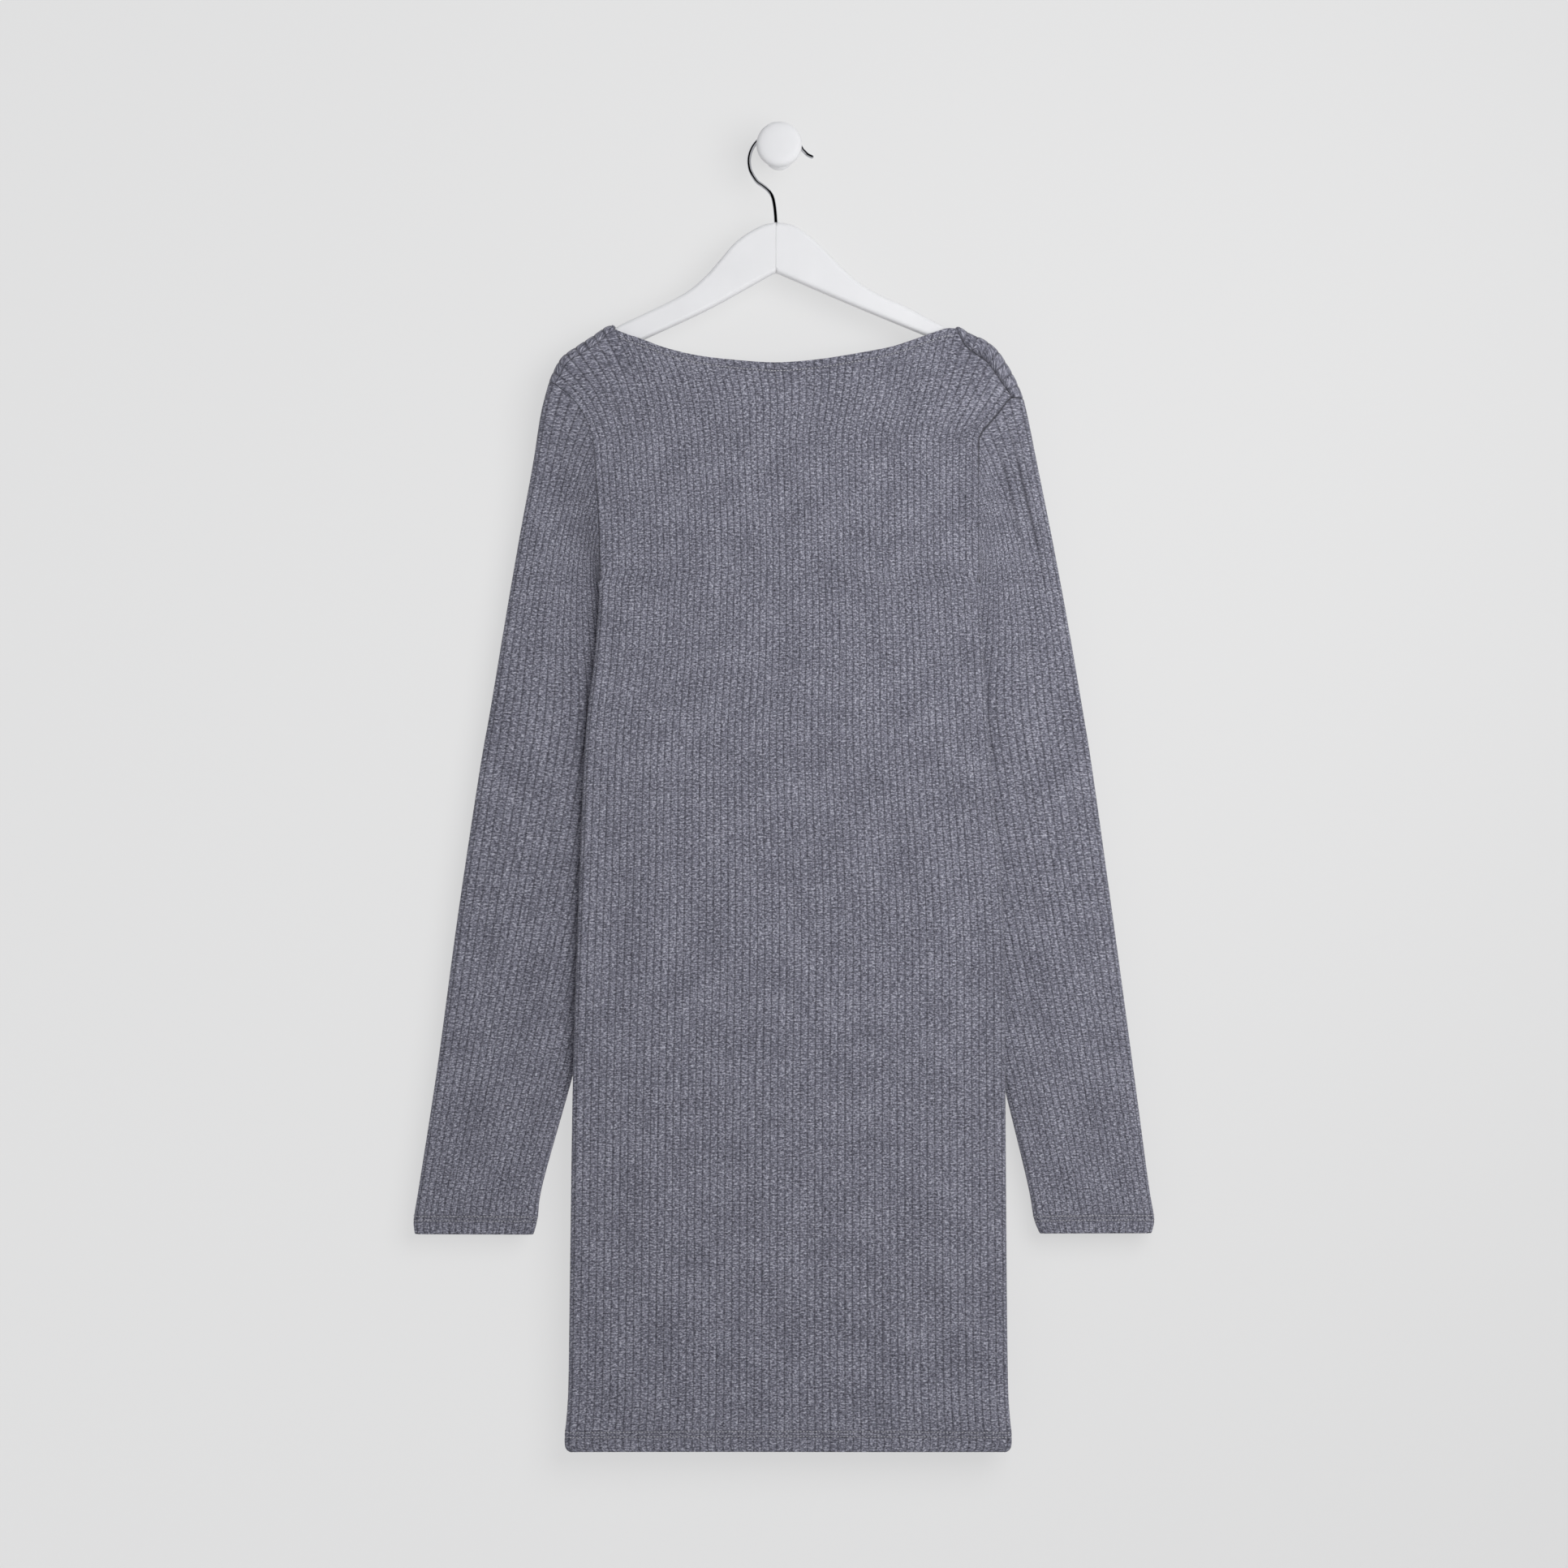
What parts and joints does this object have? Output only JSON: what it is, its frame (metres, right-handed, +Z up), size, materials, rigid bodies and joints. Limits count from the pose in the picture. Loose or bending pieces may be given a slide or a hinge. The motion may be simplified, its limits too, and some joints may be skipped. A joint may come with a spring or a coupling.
{
  "type": "long-sleeved rib-knit dress on a hanger on a wall knob",
  "caption": "Close-fitting long-sleeved rib-knit mini dress with a wide boat neck, hung flat on a wooden hanger whose wire hook sits on a round wall knob.",
  "frame": {"origin": "centre of the knob's flat back face, on the wall", "axes": "+X to the viewer's right, +Y into the wall, +Z up; the dress shows its back towards -Y"},
  "size_m": [0.5496, 0.0504, 0.982],
  "materials": {
    "rib_jersey": "grey melange rib knit, matt",
    "painted_wood": "white paint, satin",
    "chrome_wire": "polished",
    "painted_knob": "white paint, satin"
  },
  "bodies": {
    "root": {"back_panel": "rib_jersey", "front_panel": "rib_jersey", "sleeve_left_back": "rib_jersey", "sleeve_left_front": "rib_jersey", "sleeve_right_back": "rib_jersey", "sleeve_right_front": "rib_jersey", "hanger": "painted_wood", "hanger_hook": "chrome_wire", "wall_knob": "painted_knob"}
  },
  "joints": []
}
